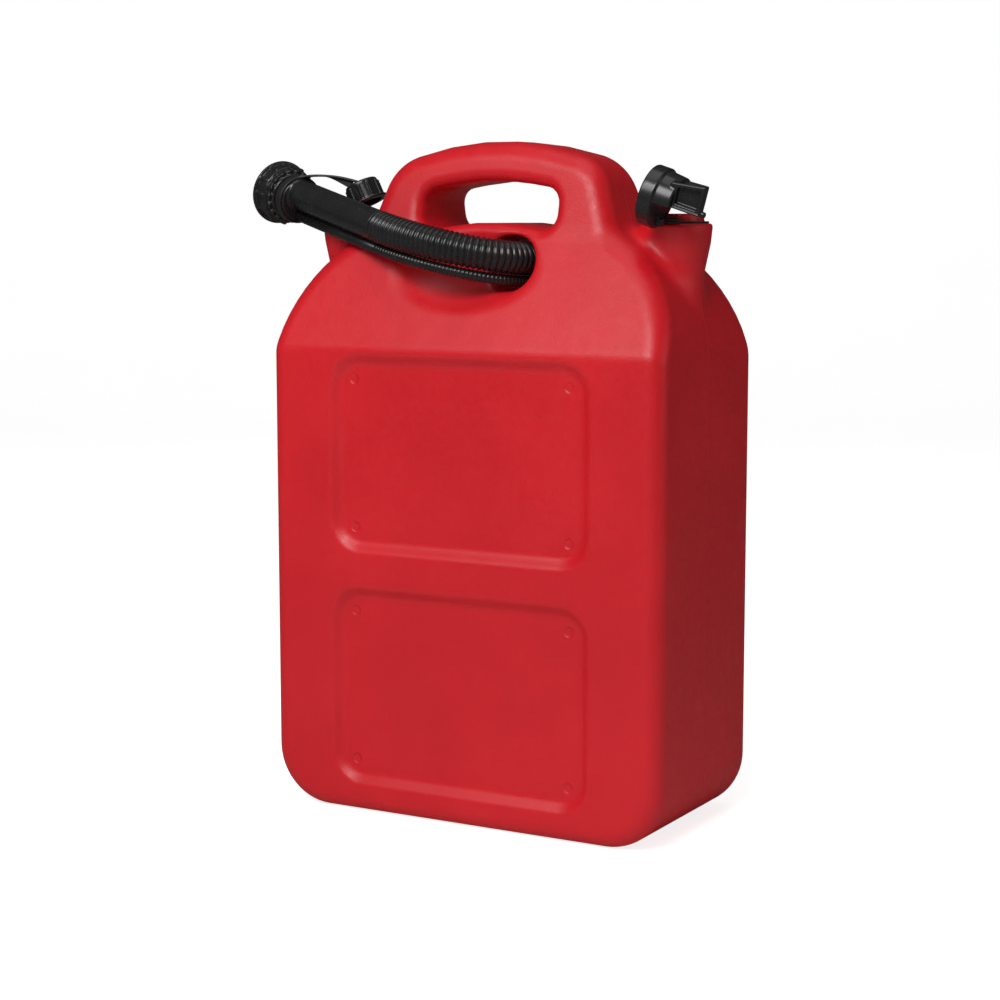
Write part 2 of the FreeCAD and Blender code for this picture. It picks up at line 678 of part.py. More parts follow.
def vent_tether():
    """Strap: a ring that turns on the adapter's base and a thin band that arches to the vent cap."""
    frame = tube_frame(ADAPTER_LENGTH - RING_START, COLLAR_DROP)
    ring_bore = BASE_RADIUS + GAP
    ring = tube(ring_bore + RING_WALL, ring_bore, 0, RING_LENGTH)
    space = cylinder(ring_bore, -20, RING_LENGTH + 20)
    for shape in (ring, space):
        shape.Placement = frame
    start = frame.multVec(Vector(0, ring_bore + RING_WALL / 2, RING_LENGTH / 2))
    end = vent_cap_frame().multVec(Vector(0, 0, VENT_CAP_HEIGHT))
    middle = (start + end) * 0.5 + Vector(0, 0, STRAP_RISE)
    arch = Part.BSplineCurve()
    arch.interpolate([start, middle, end])
    return ring.fuse(strap_band(Part.Wire(arch.toShape()))).cut(space)


PARTS = {
    "tank_body": tank_body,
    "filler_cap": filler_cap,
    "filler_cap_seal": filler_cap_seal,
    "filler_tether": filler_tether,
    "filler_tether_pin": filler_tether_pin,
    "vent_cap": vent_cap,
    "vent_cap_seal": vent_cap_seal,
    "vent_tether": vent_tether,
    "spout_collar": spout_collar,
    "spout_seal": spout_seal,
    "spout_adapter": spout_adapter,
    "spout_hose": spout_hose,
    "spout_breather": spout_breather,
    "spout_nozzle": spout_nozzle,
}

os.makedirs("parts", exist_ok=True)
for node, build in PARTS.items():
    build().exportStep("parts/" + node + ".step")
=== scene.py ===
"""Plastic jerry can with a stowed pouring spout: the looks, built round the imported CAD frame.

Fields are written in millimetres in the frame's own axes (+X to the filler neck, -Y to the front, +Z up);
MM turns them into the scene's metres. A field is negative inside its solid.
"""

import json
import math

import bmesh
import bpy
import numpy as np
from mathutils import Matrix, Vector


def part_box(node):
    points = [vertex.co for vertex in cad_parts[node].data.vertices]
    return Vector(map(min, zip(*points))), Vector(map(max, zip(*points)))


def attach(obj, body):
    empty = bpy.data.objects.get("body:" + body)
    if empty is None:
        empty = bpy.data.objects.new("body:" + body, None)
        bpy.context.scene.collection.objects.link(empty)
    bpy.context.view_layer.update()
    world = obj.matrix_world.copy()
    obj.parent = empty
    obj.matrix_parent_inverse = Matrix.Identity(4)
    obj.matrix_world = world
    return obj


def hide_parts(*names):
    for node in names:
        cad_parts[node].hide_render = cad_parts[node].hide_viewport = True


MM = 0.001
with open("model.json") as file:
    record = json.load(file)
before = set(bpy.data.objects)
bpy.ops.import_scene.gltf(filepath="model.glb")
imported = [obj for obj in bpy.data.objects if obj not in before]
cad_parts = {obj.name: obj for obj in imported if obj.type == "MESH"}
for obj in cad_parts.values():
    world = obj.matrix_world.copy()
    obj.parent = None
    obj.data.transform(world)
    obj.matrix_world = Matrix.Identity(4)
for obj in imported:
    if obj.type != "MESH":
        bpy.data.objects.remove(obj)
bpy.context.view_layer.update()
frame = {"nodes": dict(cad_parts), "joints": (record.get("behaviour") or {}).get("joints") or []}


# ---- sizes taken from the frame ----------------------------------------------------------------------
def box_mm(node):
    """Lowest and highest corner of a CAD node in millimetres."""
    low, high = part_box(node)
    return np.array(low) / MM, np.array(high) / MM


def joint_line(name):
    """Point (mm) and unit direction of a joint."""
    joint = next(entry for entry in frame["joints"] if entry["name"] == name)
    axis = np.array(joint["axis"], float)
    return np.array(joint.get("pos_m", (0, 0, 0)), float) / MM, axis / np.linalg.norm(axis)


TANK_LOW, TANK_HIGH = box_mm("tank_body")
SIDE_X = TANK_HIGH[0]
FACE_Y = TANK_HIGH[1]
HEIGHT = TANK_HIGH[2]
NECK_X = joint_line("filler_strap_swivel")[0][0]
NECK_TOP_Z = joint_line("filler_strap_swivel")[0][2]
COLLAR_MOUTH, TUBE_AXIS = joint_line("collar_spin")
NOZZLE_LOW, NOZZLE_HIGH = box_mm("spout_nozzle")
X_AXIS = np.array((1.0, 0.0, 0.0))
Y_AXIS = np.array((0.0, 1.0, 0.0))
Z_AXIS = np.array((0.0, 0.0, 1.0))


# ---- fields ------------------------------------------------------------------------------------------
def round_max(first, second, radius):
    """Intersection of two fields with its edge rounded by radius."""
    outer = np.hypot(np.maximum(first + radius, 0), np.maximum(second + radius, 0))
    return np.minimum(np.maximum(first, second), -radius) + outer


def smooth_min(first, second, reach):
    """Union of two fields with a soft fillet."""
    share = np.maximum(reach - np.abs(first - second), 0) / reach
    return np.minimum(first, second) - share * share * reach / 4


def smooth_max(first, second, reach):
    """Intersection of two fields with a soft edge."""
    return -smooth_min(-first, -second, reach)


def rounded_rectangle(across, up, half_across, half_up, radius):
    """Signed distance in a plane to a rectangle with round corners."""
    dx = np.abs(across) - half_across + radius
    dz = np.abs(up) - half_up + radius
    return np.hypot(np.maximum(dx, 0), np.maximum(dz, 0)) + np.minimum(np.maximum(dx, dz), 0) - radius


def ellipsoid(x, y, z, centre, radii):
    """Approximate signed distance to an ellipsoid."""
    px, py, pz = x - centre[0], y - centre[1], z - centre[2]
    first = np.sqrt((px / radii[0]) ** 2 + (py / radii[1]) ** 2 + (pz / radii[2]) ** 2)
    second = np.sqrt((px / radii[0] ** 2) ** 2 + (py / radii[1] ** 2) ** 2 + (pz / radii[2] ** 2) ** 2)
    return first * (first - 1) / np.maximum(second, 1e-9)


def capsule_ring(radial, axial, low, high, radius, edge):
    """Cylinder about an axis, from low to high, with rounded rims."""
    return round_max(radial - radius, np.maximum(low - axial, axial - high), edge)


def rounded_points(corners, step_deg=6.0):
    """Points of a closed outline whose corners (x, z, radius) are rounded."""
    count = len(corners)
    points = []
    for index, (x, z, radius) in enumerate(corners):
        corner = np.array((x, z), float)
        back = np.array(corners[index - 1][:2], float) - corner
        ahead = np.array(corners[(index + 1) % count][:2], float) - corner
        back /= np.linalg.norm(back)
        ahead /= np.linalg.norm(ahead)
        half = math.acos(np.clip(back @ ahead, -1, 1)) / 2
        if radius <= 0:
            points.append(corner)
            continue
        bisector = (back + ahead) / np.linalg.norm(back + ahead)
        centre = corner + bisector * radius / math.sin(half)
        swing = math.pi / 2 - half
        steps = max(2, int(math.degrees(2 * swing) / step_deg) + 1)
        side = ahead - bisector * (ahead @ bisector)
        side /= np.linalg.norm(side)
        for angle in np.linspace(-swing, swing, steps):
            points.append(centre + radius * (side * math.sin(angle) - bisector * math.cos(angle)))
    return np.array(points)


def outline_distance(across, up, points):
    """Signed distance in a plane to a closed outline, negative inside."""
    shape = np.broadcast(across, up).shape
    nearest = np.full(shape, np.inf)
    inside = np.zeros(shape, bool)
    for (ax, az), (bx, bz) in zip(points, np.roll(points, -1, axis=0)):
        ex, ez = bx - ax, bz - az
        length = ex * ex + ez * ez
        if length < 1e-12:
            continue
        px, pz = across - ax, up - az
        share = np.clip((px * ex + pz * ez) / length, 0, 1)
        nearest = np.minimum(nearest, (px - ex * share) ** 2 + (pz - ez * share) ** 2)
        if abs(ez) > 1e-9:
            inside ^= ((az > up) != (bz > up)) & (px < ex * pz / ez)
    return np.where(inside, -1, 1) * np.sqrt(nearest)


# ---- field to mesh -----------------------------------------------------------------------------------
def net_faces(inside, index):
    """Quads of a surface net, turned so that they face out of the solid."""
    groups = []
    for axis in range(3):
        solid = np.moveaxis(inside, axis, 0)
        cells = np.moveaxis(index, axis, 0)
        change = solid[:-1, 1:-1, 1:-1] != solid[1:, 1:-1, 1:-1]
        i, j, k = np.nonzero(change)
        quad = np.stack([cells[i, j, k], cells[i, j + 1, k], cells[i, j + 1, k + 1], cells[i, j, k + 1]], 1)
        outward = solid[i, j + 1, k + 1] ^ (axis == 1)
        quad[~outward] = quad[~outward, ::-1]
        groups.append(quad)
    return np.concatenate(groups)


def settle(points, field, limit, rounds):
    """Move points along the field's slope on to its surface."""
    probe = limit * 0.05
    for _ in range(rounds):
        value = field(*points.T)
        slope = np.empty_like(points)
        for axis in range(3):
            shift = np.zeros(3)
            shift[axis] = probe
            slope[:, axis] = (field(*(points + shift).T) - field(*(points - shift).T)) / (2 * probe)
        steepness = np.maximum((slope ** 2).sum(1), 0.05)
        move = -(value / steepness)[:, None] * slope
        length = np.linalg.norm(move, axis=1, keepdims=True)
        points = points + move * np.minimum(1, limit / np.maximum(length, 1e-9))
    return points


def relaxed(points, quads):
    """Each point moved half way to the mean of its neighbours."""
    total = np.zeros_like(points)
    count = np.zeros(len(points))
    for first in range(4):
        a, b = quads[:, first], quads[:, (first + 1) % 4]
        for here, there in ((a, b), (b, a)):
            count += np.bincount(here, minlength=len(points))
            for axis in range(3):
                total[:, axis] += np.bincount(here, points[there, axis], len(points))
    return points * 0.5 + 0.5 * total / count[:, None]


def mesh_object(name, points, quads):
    """Smooth-shaded object from points in metres and quads."""
    mesh = bpy.data.meshes.new(name)
    mesh.vertices.add(len(points))
    mesh.vertices.foreach_set("co", np.asarray(points, np.float32).ravel())
    mesh.loops.add(quads.size)
    mesh.loops.foreach_set("vertex_index", quads.astype(np.int32).ravel())
    mesh.polygons.add(len(quads))
    mesh.polygons.foreach_set("loop_start", np.arange(0, quads.size, 4, dtype=np.int32))
    mesh.polygons.foreach_set("use_smooth", np.ones(len(quads), bool))
    mesh.update(calc_edges=True)
    mesh.validate()
    made = bpy.data.objects.new(name, mesh)
    bpy.context.scene.collection.objects.link(made)
    return made


def field_object(name, field, low, high, step, place=None):
    """Mesh of a field between two corners (mm), then put in place by a 4x4 matrix in millimetres."""
    low = np.array(low, float) - 2.5 * step
    high = np.array(high, float) + 2.5 * step
    axes = [np.arange(a, b, step) for a, b in zip(low, high)]
    values = field(axes[0][:, None, None], axes[1][None, :, None], axes[2][None, None, :])
    inside = np.broadcast_to(values, [len(a) for a in axes]) < 0
    filled = np.zeros([len(a) - 1 for a in axes], np.int8)
    for corner in np.ndindex(2, 2, 2):
        cut = tuple(slice(c, len(a) - 1 + c) for c, a in zip(corner, axes))
        filled += inside[cut]
    active = (filled > 0) & (filled < 8)
    index = np.full(filled.shape, -1)
    index[active] = np.arange(active.sum())
    points = low + (np.argwhere(active) + 0.5) * step
    quads = net_faces(inside, index)
    points = settle(points, field, step, 3)
    points = settle(relaxed(points, quads), field, step, 2)
    points = settle(relaxed(points, quads), field, step, 2)
    if place is not None:
        points = points @ place[:3, :3].T + place[:3, 3]
    return mesh_object(name, points * MM, quads)


# ---- can body ----------------------------------------------------------------------------------------
EDGE_RADIUS = 14.0
BASE_CORNER_RADIUS = 45.0
SHOULDER_Z, SHOULDER_RADIUS = 407.0, 100.0
FOLD_Z, FOLD_RADIUS = 355.0, 20.0
LEAN_Y, LEAN_Z, LEAN_RADIUS = 41.0, 440.0, 60.0
BAR_TOP_Y = 21.0
LEG_FOOT_X, LEG_FOOT_Z, LEG_FOOT_RADIUS = 105.0, 441.5, 25.0
LEG_TOP_X, LEG_TOP_RADIUS = 88.0, 36.0
PANEL_HALF = 110.0
PANEL_DEPTH = 5.5
PANEL_DRAFT = 8.0
PANEL_RADIUS = 25.0
PANEL_EDGE = 1.4
PANEL_FLOOR_EDGE = 2.0
OUTSIDE_PANELS = -3.0
PANELS = ((22.0, 175.0), (201.0, 351.0))
PIT_INSET = 19.0                                        # round pits near the corners of every panel
PIT_RADIUS = 4.5
HAND_HALF = 57.0
HAND_FLOOR_Z = 441.0
HAND_ROOF_Z = 472.0
HAND_ARCH, HAND_ROOF_ARCH, HAND_ARCH_RADIUS = 10.5, 9.5, 200.0
HAND_FLOOR_RADIUS, HAND_ROOF_RADIUS = 11.0, 13.0
HAND_EDGE = 9.0
STOW_LEFT_X, STOW_RIGHT_X = 3.0, 47.0
STOW_LOW_Z, STOW_HIGH_Z = 398.0, 438.5
STOW_CORNER = 20.0
STOW_EDGE = 4.0
DISH_CENTRE = (-9.0, -86.0, 423.0)
DISH_RADII = (75.0, 50.0, 38.0)
DISH_EDGE = 8.0
NECK_FOOT_Z = 388.0
NECK_ROOT_Z = 402.0
NECK_HOLLOW_Z = 418.0                                   # floor of the bores in the necks
NECK_BAND_Z = NECK_TOP_Z - 14.0
NECK_ROLL_Z = NECK_TOP_Z - 3
NECK_RADII = (14.0, 18.0, 24.5, 25.6)                   # at the neck's foot, root, band and rolled edge
NECK_EDGE = 2.2
NECK_FILLET = 14.0                                      # soft joint between a neck and the shoulder
RIM_FOOT_Z = 430.0
NECKS = ((1, 19.5, 7.0, 16.0), (-1, 10.0, 6.0, 7.0))   # side, rim radius, rim height, bore radius
TOP_SLOPE = math.radians(17)
TOP_RADIUS = 238.0


def both_sides(right, middle=()):
    """Corners of a symmetric outline from those of its right half and any on the centre line."""
    return list(right) + list(middle) + [(-x, z, radius) for x, z, radius in reversed(right)]


def front_points():
    """Outline of the can seen from the front."""
    apex_z = HEIGHT + TOP_RADIUS * (1 / math.cos(TOP_SLOPE) - 1)
    right = [
        (SIDE_X, 0.0, BASE_CORNER_RADIUS),
        (SIDE_X, SHOULDER_Z, SHOULDER_RADIUS),
        (LEG_FOOT_X, LEG_FOOT_Z, LEG_FOOT_RADIUS),
        (LEG_TOP_X, apex_z - LEG_TOP_X * math.tan(TOP_SLOPE), LEG_TOP_RADIUS),
    ]
    return rounded_points(both_sides(right, [(0.0, apex_z, TOP_RADIUS)]))


def side_points():
    """Outline of the can seen from the side, in (y, z); it reaches past the base and the handle."""
    right = [
        (FACE_Y, -30.0, 0.0),
        (FACE_Y, FOLD_Z, FOLD_RADIUS),
        (LEAN_Y, LEAN_Z, LEAN_RADIUS),
        (BAR_TOP_Y, HEIGHT + 20, 0.0),
    ]
    return rounded_points(both_sides(right))


def hand_points():
    """Outline of the hand opening."""
    corners = [
        (-HAND_HALF, HAND_FLOOR_Z, HAND_FLOOR_RADIUS),
        (0.0, HAND_FLOOR_Z + HAND_ARCH, HAND_ARCH_RADIUS),
        (HAND_HALF, HAND_FLOOR_Z, HAND_FLOOR_RADIUS),
        (HAND_HALF, HAND_ROOF_Z, HAND_ROOF_RADIUS),
        (0.0, HAND_ROOF_Z + HAND_ROOF_ARCH, HAND_ARCH_RADIUS),
        (-HAND_HALF, HAND_ROOF_Z, HAND_ROOF_RADIUS),
    ]
    return rounded_points(corners)


FRONT = front_points()
SIDE = side_points()
HAND = hand_points()


def panel_floor(x, z):
    """How far the front and back faces are sunk: above zero inside a panel, below zero well outside one."""
    depth = OUTSIDE_PANELS
    for low_z, high_z in PANELS:
        middle_z, half_z = (low_z + high_z) / 2, (high_z - low_z) / 2
        edge = rounded_rectangle(x, z - middle_z, PANEL_HALF, half_z, PANEL_RADIUS)
        sunk = smooth_min(-edge * PANEL_DEPTH / PANEL_DRAFT, PANEL_DEPTH, PANEL_FLOOR_EDGE)
        depth = np.maximum(depth, sunk)
    return depth


def neck_field(x, y, z, side, rim_radius, rim_height):
    """Moulded neck with a rolled lip, and the plain rim on its top."""
    radial = np.hypot(x - side * NECK_X, y)
    radius = np.interp(z, (NECK_FOOT_Z, NECK_ROOT_Z, NECK_BAND_Z, NECK_ROLL_Z), NECK_RADII)
    neck = round_max(radial - radius, np.maximum(z - NECK_TOP_Z, NECK_FOOT_Z - z), NECK_EDGE)
    rim = round_max(radial - rim_radius, np.maximum(z - NECK_TOP_Z - rim_height, RIM_FOOT_Z - z), 0.6)
    return neck, rim


def tank_field(x, y, z):
    """The whole can body, solid inside, with blind bores in its necks."""
    body = round_max(outline_distance(x, z, FRONT), outline_distance(y, z, SIDE), EDGE_RADIUS)
    body = smooth_max(body, np.abs(y) - (FACE_Y - panel_floor(x, z)), PANEL_EDGE)
    body = round_max(body, -outline_distance(x, z, HAND), HAND_EDGE)
    stow = rounded_rectangle(
        x - (STOW_LEFT_X + STOW_RIGHT_X) / 2, z - (STOW_LOW_Z + STOW_HIGH_Z) / 2,
        (STOW_RIGHT_X - STOW_LEFT_X) / 2, (STOW_HIGH_Z - STOW_LOW_Z) / 2, STOW_CORNER,
    )
    body = smooth_max(body, -ellipsoid(x, y, z, DISH_CENTRE, DISH_RADII), DISH_EDGE)
    body = round_max(body, -stow, STOW_EDGE)
    for side, rim_radius, rim_height, bore in NECKS:
        neck, rim = neck_field(x, y, z, side, rim_radius, rim_height)
        body = np.minimum(smooth_min(body, neck, NECK_FILLET), rim)
        radial = np.hypot(x - side * NECK_X, y)
        body = round_max(body, -np.maximum(radial - bore, NECK_HOLLOW_Z - z), 0.7)
    return body


def can_shell():
    """Blow-moulded body as one smooth mesh."""
    step = 2.0
    shell = field_object("can_shell", tank_field, TANK_LOW, TANK_HIGH, step)
    return fit(shell, "tank_body", "can")


# ---- local frames and swept surfaces -----------------------------------------------------------------
def local_frame(origin, axis, upward=Z_AXIS):
    """4x4 matrix with local Z along axis and local Y as near to upward as it can be."""
    local_z = axis / np.linalg.norm(axis)
    local_y = upward - local_z * (upward @ local_z)
    local_y = local_y / np.linalg.norm(local_y)
    place = np.eye(4)
    place[:3, 0] = np.cross(local_y, local_z)
    place[:3, 1] = local_y
    place[:3, 2] = local_z
    place[:3, 3] = origin
    return place


def turn_about_z(angle):
    """4x4 matrix that turns by an angle about local Z."""
    turn = np.eye(4)
    turn[:2, :2] = ((math.cos(angle), -math.sin(angle)), (math.sin(angle), math.cos(angle)))
    return turn


def disc_line(node, towards):
    """Centre (mm), unit axis pointing roughly towards a direction, and thickness of a thin round CAD node."""
    points = np.array([vertex.co[:] for vertex in frame["nodes"][node].data.vertices]) / MM
    directions = np.linalg.svd(points - points.mean(0), full_matrices=False)[2]
    along = (points - points.mean(0)) @ directions.T
    centre = points.mean(0) + (along.max(0) + along.min(0)) / 2 @ directions
    axis = directions[2] * (1 if directions[2] @ towards > 0 else -1)
    return centre, axis, np.ptp(along[:, 2])


def carried_frames(points):
    """Two cross directions at each point of a path, carried along it without twist."""
    tangents = np.gradient(points, axis=0)
    tangents /= np.linalg.norm(tangents, axis=1, keepdims=True)
    side = np.cross(tangents[0], Z_AXIS)
    sides = []
    for tangent in tangents:
        side = side - tangent * (side @ tangent)
        side = side / np.linalg.norm(side)
        sides.append(side)
    sides = np.array(sides)
    return sides, np.cross(sides, tangents)


def tube_along(name, path, profile, segments=56):
    """Tube whose wall section is a closed loop of (distance along the path, radius)."""
    points = np.asarray(path, float)
    sides, ups = carried_frames(points)
    distance = np.concatenate([[0], np.cumsum(np.linalg.norm(np.diff(points, axis=0), axis=1))])
    where, radius = np.array(profile, float).T
    centres, side, up = (
        np.stack([np.interp(where, distance, values[:, axis]) for axis in range(3)], 1)
        for values in (points, sides, ups)
    )
    turn = np.linspace(0, 2 * math.pi, segments, endpoint=False)
    around = np.cos(turn)[None, :, None] * side[:, None] + np.sin(turn)[None, :, None] * up[:, None]
    grid = centres[:, None] + radius[:, None, None] * around
    ring = np.arange(len(where))[:, None]
    step = np.arange(segments)[None, :]
    next_ring = (ring + 1) % len(where)
    next_step = (step + 1) % segments
    corners = (
        ring * segments + step, next_ring * segments + step,
        next_ring * segments + next_step, ring * segments + next_step,
    )
    quads = np.stack([np.broadcast_to(corner, (len(where), segments)).ravel() for corner in corners], 1)
    made = mesh_object(name, grid.reshape(-1, 3) * MM, quads)
    face_outwards(made)
    return made


def face_outwards(made):
    """Turn every face of a closed mesh to look out of it."""
    work = bmesh.new()
    work.from_mesh(made.data)
    bmesh.ops.recalc_face_normals(work, faces=work.faces)
    work.to_mesh(made.data)
    work.free()


def fit(piece, node, body):
    """Let a piece stand for a CAD node on its body."""
    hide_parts(node)
    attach(piece, body)
    return piece


# ---- pouring spout -----------------------------------------------------------------------------------
TUBE_RADIUS = 11.8
TUBE_BORE = 9.8
HOSE_RADIUS = 12.2
HOSE_ROOT = 10.5
HOSE_PITCH = 4.1
BREATHER_RADIUS = 4.2
BREATHER_BORE = 3.2
BREATHER_DROP = 16.9
BREATHER_PITCH = 3.0
BREATHER_ROOT = 3.6
WEB_HALF = 1.0                                          # thin web between the rigid tube and the breather
WEB_SHORT = 6.0
SEAT_FLANGE = 2.5
NOZZLE_WALL = 2.0
ADAPTER_LENGTH = 149.0
HOSE_LEAD = 41.4
HOSE_TRAIL = 69.4
STRAIGHT_START_Y = -17.0
COLLAR_DROP = 4.4
COLLAR_SEAT = 9.5
SEAT_TOP = 12.05
BASE_RADIUS = 16.6
BASE_END = 33.0
RING_LOW, RING_HIGH = 25.0, 32.0
RING_RADIUS = 18.5
COLLAR_LENGTH = 21.0
COLLAR_BARREL = 14.0
COLLAR_RADIUS = 22.6
COLLAR_FLANGE_RADIUS = 25.0
COLLAR_FLANGE = 2.6
COLLAR_BORE = 19.6
COLLAR_BORE_LENGTH = 7.4
COLLAR_GROOVE = 20.0
COLLAR_RIBS = 12
COLLAR_RIB_HALF = 1.2
COLLAR_RIB_HEIGHT = 1.2
COLLAR_RIB_ROOT = 2.0                                   # how deep the ribs start inside the barrel
CASTLE_TEETH = 18
CASTLE_START = 12.0
CASTLE_RADIUS = 20.6
CASTLE_LOW = 3.2                                        # gaps between the teeth, below the collar's end
CASTLE_TOOTH = 1.9
COLLAR_SLOPE = 0.25
COLLAR_SHOULDER_RADIUS = 18.8
COLLAR_SHOULDER_Z = 17.0
TURN_GAP = 0.05
FINE_STEP = 0.6

COLLAR_FRAME = local_frame(COLLAR_MOUTH, TUBE_AXIS)
TUBE_UP = COLLAR_FRAME[:3, 1]
TUBE_FRAME = local_frame(COLLAR_MOUTH + TUBE_UP * COLLAR_DROP, TUBE_AXIS)
HOSE_START = TUBE_FRAME[:3, 3] + TUBE_AXIS * ADAPTER_LENGTH
STOW_LINE = (NOZZLE_LOW + NOZZLE_HIGH) / 2


def grip_ribs(x, y, z, count, half_width, root, crest, low, high, edge):
    """Ribs spread round the local Z axis, from radius root to crest and between two heights."""
    radial = np.hypot(x, y)
    turn = np.arctan2(y, x)
    pitch = 2 * math.pi / count
    offset = np.abs(turn - pitch * np.round(turn / pitch)) * radial
    rib = round_max(offset - half_width, np.maximum(radial - crest, root - radial), edge)
    return round_max(rib, np.maximum(low - z, z - high), edge + 0.1)


def ridge_wave(across, count, sharpness):
    """Value from 0 to 1 that peaks count times round the local Z axis."""
    return (0.5 + 0.5 * np.cos(across * count)) ** sharpness


def collar_field(x, y, z):
    """Screw collar: open flange, ribbed barrel, toothed ring and sloping shoulder."""
    radial = np.hypot(x, y)
    turn = np.arctan2(y, x)
    flange = capsule_ring(radial, z, 0.0, COLLAR_FLANGE, COLLAR_FLANGE_RADIUS - 0.1, 0.9)
    barrel = capsule_ring(radial, z, 0.0, COLLAR_BARREL, COLLAR_RADIUS, 1.4)
    ribs = grip_ribs(
        x, y, z, COLLAR_RIBS, COLLAR_RIB_HALF, COLLAR_RADIUS - COLLAR_RIB_ROOT,
        COLLAR_RADIUS + COLLAR_RIB_HEIGHT, 0.0, COLLAR_BARREL - COLLAR_RIB_HEIGHT, 0.6,
    )
    teeth = ridge_wave(turn, CASTLE_TEETH, 0.6)
    teeth_end = COLLAR_LENGTH - CASTLE_LOW + CASTLE_TOOTH * teeth
    ring = capsule_ring(radial, z, CASTLE_START, teeth_end, CASTLE_RADIUS + 0.7 * teeth, 0.9)
    sloping = radial + COLLAR_SLOPE * (z - COLLAR_SHOULDER_Z)
    shoulder = capsule_ring(sloping, z, CASTLE_START, COLLAR_LENGTH, COLLAR_SHOULDER_RADIUS, 0.8)
    solid = smooth_min(smooth_min(flange, barrel, 1.2), ribs, 0.8)
    solid = smooth_min(np.minimum(solid, ring), shoulder, 0.8)
    solid = round_max(solid, -np.maximum(radial - COLLAR_BORE, z - COLLAR_BORE_LENGTH - 1), 0.5)
    groove = np.maximum(radial - COLLAR_GROOVE, np.maximum(COLLAR_BORE_LENGTH - z, z - SEAT_TOP))
    solid = np.maximum(solid, -groove)
    return round_max(solid, BASE_RADIUS + TURN_GAP - radial, 0.4)


def spout_collar():
    """Screw collar that turns on the spout's base."""
    reach = COLLAR_FLANGE_RADIUS
    low, high = (-reach, -reach, 0), (reach, reach, COLLAR_LENGTH)
    piece = field_object("screw_collar", collar_field, low, high, FINE_STEP, COLLAR_FRAME)
    return fit(piece, "spout_collar", "collar")


def adapter_field(x, y, z):
    """Smooth tube on a round base, with a thin web that ties it to the breather below."""
    radial = np.hypot(x, y)
    base_radial = np.hypot(x, y + COLLAR_DROP)
    tube = capsule_ring(radial, z, COLLAR_SEAT, ADAPTER_LENGTH, TUBE_RADIUS, 0.5)
    base = capsule_ring(base_radial, z, COLLAR_SEAT, BASE_END, BASE_RADIUS, 1.2)
    flange = capsule_ring(base_radial, z, COLLAR_SEAT, COLLAR_SEAT + SEAT_FLANGE, COLLAR_BORE - 0.4, 0.3)
    web_low = BREATHER_RADIUS - BREATHER_DROP - 0.8
    web_section = np.maximum(np.abs(x) - WEB_HALF, np.maximum(web_low - y, y + TUBE_RADIUS - 1))
    web = np.maximum(web_section, np.maximum(BASE_END - 1 - z, z - ADAPTER_LENGTH + WEB_SHORT))
    solid = smooth_min(smooth_min(tube, base, 2.5), web, 0.8)
    solid = round_max(np.minimum(solid, flange), TUBE_BORE - radial, 0.4)
    breather_radial = np.hypot(x, y + BREATHER_DROP)
    return round_max(solid, -np.maximum(breather_radial - BREATHER_BORE, z - BASE_END - 1), 0.3)


def spout_adapter():
    """Rigid smooth part of the spout."""
    low = (-20, -24, COLLAR_SEAT)
    high = (20, 15, ADAPTER_LENGTH)
    piece = field_object("spout_lead", adapter_field, low, high, FINE_STEP * 1.3, TUBE_FRAME)
    return fit(piece, "spout_adapter", "spout")


def hose_path(drop):
    """Points from the end of the rigid tube round the bend and straight back through the can."""
    lowered = np.array((0, 0, -drop))
    start = HOSE_START - TUBE_UP * drop
    turn = np.array((STOW_LINE[0], STRAIGHT_START_Y, STOW_LINE[2])) + lowered
    end = np.array((STOW_LINE[0], NOZZLE_LOW[1], STOW_LINE[2])) + lowered
    poles = (start, start + TUBE_AXIS * HOSE_LEAD, turn - Y_AXIS * HOSE_TRAIL, turn)
    share = np.linspace(0, 1, 121)[:, None]
    weights = ((1 - share) ** 3, 3 * share * (1 - share) ** 2, 3 * share ** 2 * (1 - share), share ** 3)
    bend = sum(weight * pole for weight, pole in zip(weights, poles))
    straight = turn + np.linspace(0, 1, 40)[1:, None] * (end - turn)
    return np.concatenate([bend, straight])


def path_length(points):
    """Length of a path."""
    return np.linalg.norm(np.diff(points, axis=0), axis=1).sum()


def bellows_profile(length, pitch, crest, root, bore, plain_start=0.0):
    """Closed wall section of a corrugated tube: rounded crests with narrow grooves outside, plain inside."""
    steps = 9
    count = max(1, round((length - plain_start) / pitch))
    share = np.arange(count * steps + 1) / steps
    outside = root + (crest - root) * np.abs(np.sin(math.pi * share)) ** 0.75
    where = plain_start + (length - plain_start) * share / count
    profile = list(zip(where, outside))
    if plain_start:
        profile = [(0.0, crest - 0.1), (plain_start - 0.4, crest - 0.1)] + profile
    inside = [(at, bore) for at in np.linspace(length, 0, 60)]
    return profile + inside


def spout_hose():
    """Corrugated hose that bends round into the storage opening."""
    path = hose_path(0.0)
    profile = bellows_profile(path_length(path), HOSE_PITCH, HOSE_RADIUS, HOSE_ROOT, HOSE_RADIUS - 2.2)
    piece = tube_along("bellows_hose", path, profile, 64)
    return fit(piece, "spout_hose", "spout")


def spout_breather():
    """Thin breather tube: plain beside the rigid tube, corrugated beside the hose."""
    curved = hose_path(BREATHER_DROP)
    lead_start = curved[0] - TUBE_AXIS * (ADAPTER_LENGTH - BASE_END)
    lead = lead_start + np.linspace(0, 1, 30)[:-1, None] * (curved[0] - lead_start)
    path = np.concatenate([lead, curved])
    plain = ADAPTER_LENGTH - BASE_END
    length = path_length(path)
    profile = bellows_profile(length, BREATHER_PITCH, BREATHER_RADIUS, BREATHER_ROOT, BREATHER_BORE, plain)
    piece = tube_along("breather_tube", path, profile, 32)
    return fit(piece, "spout_breather", "spout")


